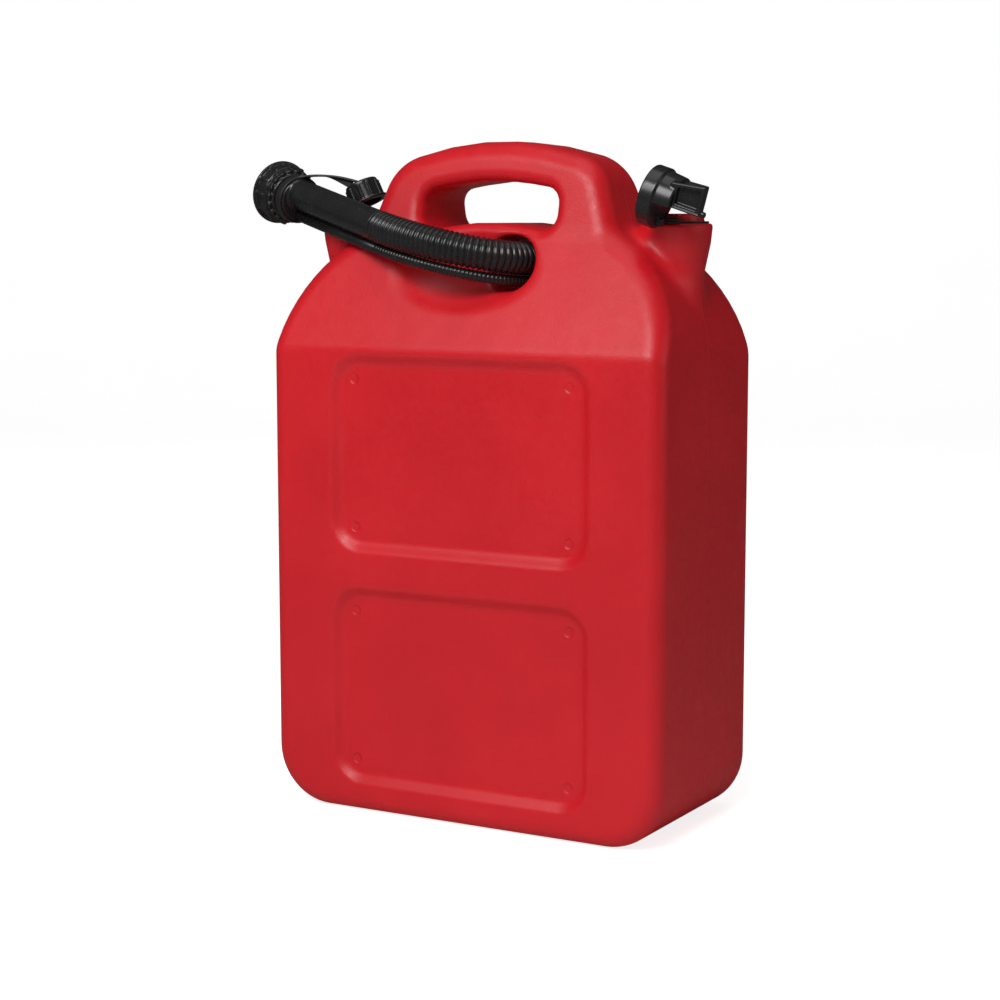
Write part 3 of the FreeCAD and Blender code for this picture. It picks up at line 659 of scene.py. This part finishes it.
def spout_nozzle():
    """Pouring end of the spout: a plain tube with a rounded lip and a stiffening band."""
    length = NOZZLE_HIGH[1] - NOZZLE_LOW[1]
    outer = (NOZZLE_HIGH[0] - NOZZLE_LOW[0]) / 2
    bore = outer - NOZZLE_WALL
    profile = [
        (0.0, outer - 0.5), (0.6, outer), (3.0, outer), (3.6, outer - 0.9), (length - 5.6, outer - 0.9),
        (length - 5.0, outer - 0.1), (length - 1.2, outer), (length - 0.4, outer - 0.3),
        (length, outer - 0.9), (length - 0.2, bore + 0.3), (length - 1.0, bore), (0.0, bore),
    ]
    start = np.array((STOW_LINE[0], NOZZLE_LOW[1], STOW_LINE[2]))
    path = start + np.linspace(0, length, 12)[:, None] * Y_AXIS
    piece = tube_along("pouring_nozzle", path, profile, 48)
    return fit(piece, "spout_nozzle", "spout")


# ---- wing cap and its strap --------------------------------------------------------------------------
CAP_SKIRT_RADIUS = 22.0
CAP_SKIRT = 11.0
CAP_CROWN = 2.5
CAP_BORE = 19.6
CAP_ROLL = math.radians(9.3)
DOME_RADIUS = 20.4
DOME_TAPER = 1.2
DOME_END = 24.0
GRIP_START = 19.0
GRIP_END = 45.2
GRIP_BOTTOM = 0.5
GRIP_ROOT_TOP, GRIP_END_TOP = 17.2, 21.4
GRIP_FRONT = -13.7
GRIP_ROOT_BACK, GRIP_END_BACK = 4.3, -6.2
GRIP_FRAME = 3.0
GRIP_POCKET = 4.0
NOTCH_LENGTH = 4.0
NOTCH_DEPTH = 3.0
GRIP_EDGE = 1.2
RAIL_DEPTH = 1.4
RAIL_EDGE = 0.8
KNOB_RADIUS = 2.2
KNOB_END = 48.5
EAR_X, EAR_INSET, EAR_RADIUS = 2.0, 5.0, 3.4            # ear at the skirt's edge that the strap holds
EAR_END = CAP_SKIRT + 3.5


def grip_slopes(z):
    """Top and back of the grip at a height along the cap's axis."""
    share = np.clip((z - GRIP_START) / (GRIP_END - GRIP_START), -0.2, 1.2)
    top = GRIP_ROOT_TOP + (GRIP_END_TOP - GRIP_ROOT_TOP) * share
    back = GRIP_ROOT_BACK + (GRIP_END_BACK - GRIP_ROOT_BACK) * share
    return top, back


def grip_block(x, y, z, front, back, margin, start, end):
    """Wedge between a front and a back, drawn in by a margin from the grip's top and bottom."""
    top = grip_slopes(z)[0] - margin
    across = np.maximum(front - x, x - back)
    upright = np.maximum(GRIP_BOTTOM + margin - y, y - top)
    return round_max(round_max(across, upright, GRIP_EDGE), np.maximum(start - z, z - end), GRIP_EDGE)


def cap_rail(x, y, z):
    """Thin rail along the bottom of the dome and the grip."""
    across = np.maximum(GRIP_FRONT - RAIL_EDGE - x, x - GRIP_END_BACK)
    rail_top = GRIP_BOTTOM + 1.0
    upright = np.maximum(rail_top - RAIL_DEPTH - y, y - rail_top)
    return round_max(round_max(across, upright, 0.5), np.maximum(CAP_SKIRT - z, z - GRIP_END - 0.4), 0.5)


def cap_notch(x, y, z):
    """Notch across the top of the grip, next to the dome."""
    middle = DOME_END + NOTCH_LENGTH / 2
    notch = np.maximum(np.abs(z - middle) - NOTCH_LENGTH / 2, GRIP_ROOT_TOP - NOTCH_DEPTH - y)
    return np.maximum(notch, GRIP_FRONT + GRIP_FRAME - x)


def wing_cap_field(x, y, z):
    """Round skirt, half dome, cored wedge grip, rail with a knob and the ear the strap holds."""
    radial = np.hypot(x, y)
    skirt = capsule_ring(radial, z, 0.0, CAP_SKIRT, CAP_SKIRT_RADIUS, 1.3)
    taper = DOME_TAPER * (z - CAP_SKIRT) / (DOME_END - CAP_SKIRT)
    dome = capsule_ring(radial + taper, z, 2.0, DOME_END, DOME_RADIUS, 1.6)
    dome = round_max(dome, np.minimum(GRIP_BOTTOM - y, z - 2), 0.8)
    grip = grip_block(x, y, z, GRIP_FRONT, grip_slopes(z)[1], 0.0, GRIP_START, GRIP_END)
    solid = smooth_min(smooth_min(skirt, dome, 0.8), grip, 1.0)
    solid = smooth_min(solid, cap_rail(x, y, z), 0.6)
    pocket_back = GRIP_FRONT + GRIP_POCKET
    pocket_end = GRIP_END - GRIP_FRAME
    pocket = grip_block(x, y, z, GRIP_FRONT - 5, pocket_back, GRIP_FRAME, DOME_END + 1, pocket_end)
    solid = round_max(round_max(solid, -pocket, 0.6), -cap_notch(x, y, z), 0.5)
    knob = np.hypot(x - (GRIP_FRONT + GRIP_END_BACK) / 2, y - GRIP_BOTTOM - KNOB_RADIUS / 2)
    solid = smooth_min(solid, capsule_ring(knob, z, GRIP_END - 3, KNOB_END, KNOB_RADIUS, 1.2), 0.6)
    ear = np.hypot(x - EAR_X, y + CAP_SKIRT_RADIUS - EAR_INSET)
    solid = smooth_min(solid, capsule_ring(ear, z, CAP_SKIRT - 2, EAR_END, EAR_RADIUS, 1.2), 1.2)
    return round_max(solid, -np.maximum(radial - CAP_BORE, z - CAP_SKIRT + CAP_CROWN), 0.5)


def wing_cap():
    """Wing cap of the filler neck, hanging open from its strap."""
    centre, axis, thickness = disc_line("filler_cap_seal", X_AXIS)
    mouth = centre - axis * (CAP_SKIRT - CAP_CROWN - thickness / 2)
    place = local_frame(mouth, axis) @ turn_about_z(CAP_ROLL)
    reach = CAP_SKIRT_RADIUS
    low, high = (-reach, -reach, 0), (reach, reach, KNOB_END)
    piece = field_object("wing_cap", wing_cap_field, low, high, FINE_STEP, place)
    return fit(piece, "filler_cap", "wing_cap")


FILLER_RING_OUTER = 23.0
FILLER_RING_BORE = 20.1
FILLER_STRAP = 1.6
LUG_START = 20.5
LUG_LENGTH = 9.0
LUG_WIDTH = 9.0


def filler_strap_field(x, y, z):
    """Flat ring with one lug, in the swivel's own frame."""
    radial = np.hypot(x, y)
    level = np.abs(z - FILLER_STRAP / 2) - FILLER_STRAP / 2
    ring = np.maximum(radial - FILLER_RING_OUTER, FILLER_RING_BORE - radial)
    lug = rounded_rectangle(x - LUG_START - LUG_LENGTH / 2, y, LUG_LENGTH / 2, LUG_WIDTH / 2, 1.5)
    flat = np.maximum(smooth_min(ring, lug, 3.0), FILLER_RING_BORE - radial)
    return round_max(flat, level, 0.5)


def filler_strap():
    """Strap ring that swivels round the filler neck, with the lug that holds the cap."""
    swivel = joint_line("filler_strap_swivel")[0]
    to_pin = joint_line("filler_cap_tilt")[0] - swivel
    place = turn_about_z(math.atan2(to_pin[1], to_pin[0]))
    place[:3, 3] = swivel
    place[2, 3] = box_mm("filler_tether")[0][2]
    reach = LUG_START + LUG_LENGTH
    low, high = (-FILLER_RING_OUTER, -FILLER_RING_OUTER, 0), (reach, FILLER_RING_OUTER, FILLER_STRAP)
    step = FINE_STEP * 0.75
    piece = field_object("filler_strap", filler_strap_field, low, high, step, place)
    return fit(piece, "filler_tether", "filler_strap")


def hinge_pin():
    """Pin of the cap's hinge, with domed ends."""
    low, high = box_mm("filler_tether_pin")
    axis = joint_line("filler_cap_tilt")[1]
    middle = (low + high) / 2
    radius = (high[2] - low[2]) / 2
    start = middle - axis * LUG_WIDTH / 2
    path = start + np.linspace(0, LUG_WIDTH, 10)[:, None] * axis
    ends = np.linspace(0, math.pi / 2, 6)
    profile = [(radius * 0.6 * (1 - math.sin(turn)), radius * math.cos(turn)) for turn in ends[::-1]]
    profile += [(LUG_WIDTH - at, size) for at, size in profile[::-1]]
    profile = [(at, max(size, 0.02)) for at, size in profile]
    piece = tube_along("hinge_pin", path, profile, 24)
    return fit(piece, "filler_tether_pin", "filler_strap")


# ---- vent cap and its strap --------------------------------------------------------------------------
VENT_CAP_RADIUS = 13.0
VENT_CAP_HEIGHT = 17.0
VENT_FLANGE_RADIUS = 16.0
VENT_FLANGE = 1.8
VENT_RIBS = 10
VENT_RIB_HALF = 1.1
VENT_RIB_HEIGHT = 1.0
VENT_RIB_SHORT = 2.6                                    # how far the ribs stop short of the crown
VENT_BORE = 10.6
STRAP_THICKNESS = 1.8
STRAP_WIDTH = 7.0
STRAP_RISE = 3.0
GUSSET_LENGTH = 26.0                                    # web under the strap that deepens to the cap
GUSSET_DEPTH = 9.0
GUSSET_HALF = 1.6


def vent_cap_frame():
    """Frame of the vent cap: local Z from its open end to its crown."""
    centre, axis, thickness = disc_line("vent_cap_seal", Z_AXIS)
    base = centre - axis * (VENT_CAP_HEIGHT - CAP_CROWN - thickness / 2)
    return local_frame(base, axis, Y_AXIS)


def vent_cap_field(x, y, z):
    """Small cap with a flange round its open end, rounded crown and long ribs."""
    radial = np.hypot(x, y)
    cup = capsule_ring(radial, z, 0.0, VENT_CAP_HEIGHT, VENT_CAP_RADIUS, 1.8)
    flange = capsule_ring(radial, z, 0.0, VENT_FLANGE, VENT_FLANGE_RADIUS, 0.7)
    ribs = grip_ribs(
        x, y, z, VENT_RIBS, VENT_RIB_HALF, VENT_CAP_RADIUS - 2, VENT_CAP_RADIUS + VENT_RIB_HEIGHT,
        0.5, VENT_CAP_HEIGHT - VENT_RIB_SHORT, 0.5,
    )
    solid = smooth_min(smooth_min(cup, flange, 1.0), ribs, 0.8)
    return round_max(solid, -np.maximum(radial - VENT_BORE, z - VENT_CAP_HEIGHT + CAP_CROWN), 0.5)


def vent_cap():
    """Ribbed cap of the vent neck, hanging from the spout's strap."""
    reach = VENT_FLANGE_RADIUS
    low, high = (-reach, -reach, 0), (reach, reach, VENT_CAP_HEIGHT)
    piece = field_object("vent_cap", vent_cap_field, low, high, FINE_STEP * 0.85, vent_cap_frame())
    return fit(piece, "vent_cap", "vent_strap")


def arch_through(start, middle, end):
    """Points of a smooth arch through three points."""
    share = np.linspace(0, 1, 25)[:, None]
    weights = (2 * (share - 0.5) * (share - 1), 4 * share * (1 - share), 2 * share * (share - 0.5))
    return sum(weight * point for weight, point in zip(weights, (start, middle, end)))


def strap_band(along, across, z, line_s, line_z):
    """Flat band that follows an arch, with a web under it that deepens towards the cap at its end."""
    nearest = np.full(np.broadcast(along, z).shape, np.inf)
    for index in range(len(line_s) - 1):
        ds, dz = line_s[index + 1] - line_s[index], line_z[index + 1] - line_z[index]
        ps, pz = along - line_s[index], z - line_z[index]
        share = np.clip((ps * ds + pz * dz) / (ds * ds + dz * dz), 0, 1)
        nearest = np.minimum(nearest, np.hypot(ps - ds * share, pz - dz * share))
    length = line_s[-1]
    depth = GUSSET_DEPTH * np.clip((along - length + GUSSET_LENGTH) / GUSSET_LENGTH, 0, 1)
    above = z - np.interp(along, line_s, line_z) + STRAP_THICKNESS / 2
    web = round_max(np.abs(across) - GUSSET_HALF, np.maximum(-above - depth, above), 0.5)
    web = np.maximum(web, np.maximum(length - GUSSET_LENGTH - along, along - length + VENT_CAP_RADIUS / 2))
    band = round_max(nearest - STRAP_THICKNESS / 2, np.abs(across) - STRAP_WIDTH / 2 + 0.2, 0.5)
    return smooth_min(np.maximum(band, along - length - 0.1), web, 1.5)


def vent_strap():
    """Strap ring on the spout's base with a thin band that arches to the vent cap."""
    ring_middle = (RING_LOW + RING_HIGH) / 2
    start = (COLLAR_FRAME @ (0, (BASE_RADIUS + RING_RADIUS) / 2, ring_middle, 1))[:3]
    end = (vent_cap_frame() @ (0, 0, VENT_CAP_HEIGHT, 1))[:3]
    arch = arch_through(start, (start + end) / 2 + Z_AXIS * STRAP_RISE, end)
    heading = (end - start) * (1, 1, 0)
    heading = heading / np.linalg.norm(heading)
    side = np.cross(heading, Z_AXIS)
    line_s, line_z = (arch - start) @ heading, arch[:, 2]
    to_collar = np.linalg.inv(COLLAR_FRAME)

    def field(x, y, z):
        local_x, local_y, local_z = (
            row[0] * x + row[1] * y + row[2] * z + row[3] for row in to_collar[:3]
        )
        radial = np.hypot(local_x, local_y)
        ring = capsule_ring(radial, local_z, RING_LOW, RING_HIGH, RING_RADIUS, 0.6)
        along = (x - start[0]) * heading[0] + (y - start[1]) * heading[1]
        across = (x - start[0]) * side[0] + (y - start[1]) * side[1]
        solid = smooth_min(ring, strap_band(along, across, z, line_s, line_z), 3.0)
        return round_max(solid, BASE_RADIUS + TURN_GAP - radial, 0.4)

    low, high = box_mm("vent_tether")
    piece = field_object("vent_strap", field, low, high, FINE_STEP)
    return fit(piece, "vent_tether", "vent_strap")


# ---- materials ---------------------------------------------------------------------------------------
def new_material(name):
    """Empty node material: its node tree and its main shader."""
    material = bpy.data.materials.new(name)
    material.use_nodes = True
    return material, material.node_tree, material.node_tree.nodes["Principled BSDF"]


def add_node(tree, kind, settings=None, **inputs):
    """New node with settings and inputs filled in. Inputs go by name, or as _0, _1; a socket is linked."""
    node = tree.nodes.new(kind)
    for key, value in (settings or {}).items():
        setattr(node, key, value)
    for key, value in inputs.items():
        socket = node.inputs[int(key[1:])] if key[1:].isdigit() else node.inputs[key.replace("_", " ")]
        if isinstance(value, bpy.types.NodeSocket):
            tree.links.new(value, socket)
        else:
            socket.default_value = value
    return node


def object_point(tree):
    """Position in the object's own axes, which are the row's axes at rest."""
    return tree.nodes.new("ShaderNodeTexCoord").outputs["Object"]


def split_axis(tree, point, axis):
    """One coordinate of a point."""
    return add_node(tree, "ShaderNodeSeparateXYZ", _0=point).outputs[axis]


def noise(tree, point, scale, detail=3.0, roughness=0.5):
    """Noise value at a scale given in features per metre."""
    return add_node(
        tree, "ShaderNodeTexNoise", Vector=point, Scale=scale, Detail=detail, Roughness=roughness,
    ).outputs["Fac"]


def remap(tree, value, low, high, to_low=0.0, to_high=1.0):
    """Value moved from one range to another, clamped."""
    return add_node(
        tree, "ShaderNodeMapRange", {"interpolation_type": "SMOOTHSTEP"}, Value=value,
        From_Min=low, From_Max=high, To_Min=to_low, To_Max=to_high,
    ).outputs["Result"]


def mathed(tree, operation, first, second=0.0):
    """One arithmetic step."""
    return add_node(tree, "ShaderNodeMath", {"operation": operation}, _0=first, _1=second).outputs[0]


def mixed_colour(tree, share, first, second):
    """Colour between two others."""
    node = tree.nodes.new("ShaderNodeMix")
    node.data_type = "RGBA"
    for socket, value in ((node.inputs[0], share), (node.inputs[6], first), (node.inputs[7], second)):
        if isinstance(value, bpy.types.NodeSocket):
            tree.links.new(value, socket)
        else:
            socket.default_value = value
    return node.outputs[2]


def bumped(tree, height, distance, normal=None, strength=1.0):
    """Surface normal tilted by a height."""
    node = add_node(tree, "ShaderNodeBump", Height=height, Distance=distance, Strength=strength)
    if normal is not None:
        tree.links.new(normal, node.inputs["Normal"])
    return node.outputs["Normal"]


def dimples(tree, point):
    """Height of the shallow round pits near the corners of every panel, from 0 in a pit to 1."""
    across = mathed(tree, "ABSOLUTE", split_axis(tree, point, "X"))
    up = split_axis(tree, point, "Z")
    aside = mathed(tree, "SUBTRACT", across, (PANEL_HALF - PIT_INSET) * MM)
    nearest = None
    for height in [end + sign * PIT_INSET for panel in PANELS for end, sign in zip(panel, (1, -1))]:
        above = mathed(tree, "SUBTRACT", up, height * MM)
        squares = mathed(tree, "ADD", mathed(tree, "POWER", aside, 2.0), mathed(tree, "POWER", above, 2.0))
        nearest = squares if nearest is None else mathed(tree, "MINIMUM", nearest, squares)
    away = mathed(tree, "SQRT", nearest)
    return remap(tree, away, PIT_RADIUS * 0.55 * MM, PIT_RADIUS * MM)


def tank_plastic():
    """Red polyethylene: fine moulded grain, faint waviness, a parting line, panel pits and a deep colour."""
    material, tree, shader = new_material("tank_polyethylene")
    point = object_point(tree)
    cloud = noise(tree, point, 9.0, 4.0)
    share = remap(tree, cloud, 0.35, 0.65)
    colour = mixed_colour(tree, share, (0.61, 0.007, 0.014, 1), (0.67, 0.010, 0.018, 1))
    tree.links.new(colour, shader.inputs["Base Color"])
    gloss = remap(tree, noise(tree, point, 160.0, 5.0, 0.65), 0.3, 0.7, 0.34, 0.44)
    tree.links.new(gloss, shader.inputs["Roughness"])
    grain = noise(tree, point, 850.0, 2.0)
    waves = noise(tree, point, 22.0, 2.0)
    seam = remap(tree, mathed(tree, "ABSOLUTE", split_axis(tree, point, "Y")), 0.0002, 0.0009, 1.0, 0.0)
    normal = bumped(tree, waves, 0.0016, strength=0.35)
    normal = bumped(tree, grain, 0.00028, normal, 0.5)
    normal = bumped(tree, seam, 0.0005, normal, 0.6)
    normal = bumped(tree, dimples(tree, point), 0.0007, normal)
    tree.links.new(normal, shader.inputs["Normal"])
    shader.inputs["Subsurface Weight"].default_value = 0.06
    shader.inputs["Subsurface Radius"].default_value = (1.0, 0.12, 0.08)
    shader.inputs["Subsurface Scale"].default_value = 0.003
    shader.inputs["Specular IOR Level"].default_value = 0.45
    return material


def black_plastic(name, tone, gloss, grain_scale):
    """Moulded black plastic with a soft sheen, fine grain and a slight mottling."""
    material, tree, shader = new_material(name)
    point = object_point(tree)
    mottle = remap(tree, noise(tree, point, 60.0, 3.0), 0.3, 0.7)
    dark = (tone, tone, tone * 1.05, 1)
    light = (tone * 1.25, tone * 1.25, tone * 1.35, 1)
    tree.links.new(mixed_colour(tree, mottle, dark, light), shader.inputs["Base Color"])
    sheen = remap(tree, noise(tree, point, 90.0, 3.0, 0.6), 0.3, 0.7, gloss - 0.03, gloss + 0.04)
    tree.links.new(sheen, shader.inputs["Roughness"])
    grain = noise(tree, point, grain_scale, 2.0)
    tree.links.new(bumped(tree, grain, 0.00004, strength=0.3), shader.inputs["Normal"])
    return material


def seal_rubber():
    """Dull dark rubber with a powdery mottling."""
    material, tree, shader = new_material("seal_rubber")
    point = object_point(tree)
    dust = remap(tree, noise(tree, point, 400.0, 5.0, 0.7), 0.45, 0.75)
    colour = mixed_colour(tree, dust, (0.018, 0.018, 0.018, 1), (0.045, 0.043, 0.042, 1))
    tree.links.new(colour, shader.inputs["Base Color"])
    shader.inputs["Roughness"].default_value = 0.8
    tree.links.new(bumped(tree, noise(tree, point, 900.0), 0.0001), shader.inputs["Normal"])
    return material


def paint(objects, material):
    """Give objects one material."""
    for item in objects:
        item.data.materials.clear()
        item.data.materials.append(material)


# ---- studio ------------------------------------------------------------------------------------------
VIEW_TURN = math.radians(29.55)                         # the camera's place round the can, from its front
VIEW_DROP = math.radians(7.37)
VIEW_DISTANCE = 1.676
AIM = Vector((-0.0089, 0.0, 0.2369))


def studio_floor():
    """Pale floor that curves up far behind the can; it is dimmer in reflections, to keep the red deep."""
    half = 6.0
    bend_start = 3.0
    turn_radius = 1.5
    bend = np.linspace(0, math.pi / 2, 13)
    line = [(-half, 0.0)]
    line += [(bend_start + turn_radius * math.sin(a), turn_radius * (1 - math.cos(a))) for a in bend]
    line += [(bend_start + turn_radius, half)]
    points = [(x, y, z) for y, z in line for x in (-half * 1.5, half * 1.5)]
    faces = [(2 * i, 2 * i + 1, 2 * i + 3, 2 * i + 2) for i in range(len(line) - 1)]
    mesh = bpy.data.meshes.new("studio_floor")
    mesh.from_pydata(points, [], faces)
    mesh.polygons.foreach_set("use_smooth", [True] * len(faces))
    floor = bpy.data.objects.new("studio_floor", mesh)
    bpy.context.scene.collection.objects.link(floor)
    floor.rotation_euler.z = VIEW_TURN
    floor.location.z = -0.0005
    material, tree, shader = new_material("studio_paper")
    shade = remap(tree, noise(tree, object_point(tree), 3.0), 0.3, 0.7)
    paper = mixed_colour(tree, shade, (0.90, 0.90, 0.90, 1), (0.93, 0.93, 0.93, 1))
    rays = tree.nodes.new("ShaderNodeLightPath").outputs
    mirrored = mixed_colour(tree, rays["Is Glossy Ray"], paper, (0.22, 0.22, 0.22, 1))
    tree.links.new(mirrored, shader.inputs["Base Color"])
    shader.inputs["Roughness"].default_value = 0.9
    shader.inputs["Emission Color"].default_value = (1, 1, 1, 1)
    glow = mathed(tree, "MULTIPLY", rays["Is Camera Ray"], 0.8)
    tree.links.new(glow, shader.inputs["Emission Strength"])
    mesh.materials.append(material)


def direction(around, lift):
    """Unit vector away from the can, turned from its front towards +X and lifted from the floor."""
    return Vector((math.sin(around) * math.cos(lift), -math.cos(around) * math.cos(lift), math.sin(lift)))


def area_light(name, azimuth, elevation, distance, size, power):
    """Square soft light aimed at the middle of the can, placed by angles from the camera's side."""
    data = bpy.data.lights.new(name, "AREA")
    data.shape = "SQUARE"
    data.size = size
    data.energy = power
    light = bpy.data.objects.new(name, data)
    bpy.context.scene.collection.objects.link(light)
    target = Vector((0, 0, HEIGHT * MM / 2))
    away = direction(VIEW_TURN + math.radians(azimuth), math.radians(elevation))
    light.location = target + away * distance
    light.rotation_euler = away.to_track_quat("Z", "Y").to_euler()
    return light


def camera():
    """Camera at the photo's viewing angle."""
    data = bpy.data.cameras.new("camera")
    data.lens = 78.7
    data.sensor_width = 36.0
    view = bpy.data.objects.new("camera", data)
    bpy.context.scene.collection.objects.link(view)
    away = direction(VIEW_TURN, VIEW_DROP)
    view.location = AIM + away * VIEW_DISTANCE
    view.rotation_euler = away.to_track_quat("Z", "Y").to_euler()
    bpy.context.scene.camera = view


def lights():
    """Key light in front, a soft box to its left for the sheen on the sloping face, and gentle fills."""
    area_light("key", -18, 40, 2.2, 0.9, 22)
    area_light("left_box", -47, 38, 2.4, 1.0, 15)
    area_light("side_fill", 70, 16, 2.6, 1.2, 4)
    area_light("top", -10, 84, 2.4, 1.6, 9)
    world = bpy.data.worlds.new("studio")
    bpy.context.scene.world = world
    world.use_nodes = True
    background = world.node_tree.nodes["Background"]
    background.inputs["Color"].default_value = (1, 1, 1, 1)
    background.inputs["Strength"].default_value = 0.10


# ---- the whole scene ---------------------------------------------------------------------------------
def build():
    """Make every piece, paint it and set up the studio."""
    red = tank_plastic()
    spout_black = black_plastic("spout_plastic", 0.012, 0.26, 1100.0)
    cap_black = black_plastic("cap_plastic", 0.012, 0.24, 900.0)
    strap_black = black_plastic("strap_plastic", 0.013, 0.45, 1300.0)
    paint([can_shell()], red)
    paint([spout_adapter(), spout_hose(), spout_breather(), spout_nozzle()], spout_black)
    paint([spout_collar(), wing_cap(), vent_cap()], cap_black)
    paint([filler_strap(), hinge_pin(), vent_strap()], strap_black)
    seals = [frame["nodes"][node] for node in ("filler_cap_seal", "vent_cap_seal", "spout_seal")]
    paint(seals, seal_rubber())
    studio_floor()
    lights()
    camera()
    scene = bpy.context.scene
    scene.view_settings.view_transform = "Standard"


build()
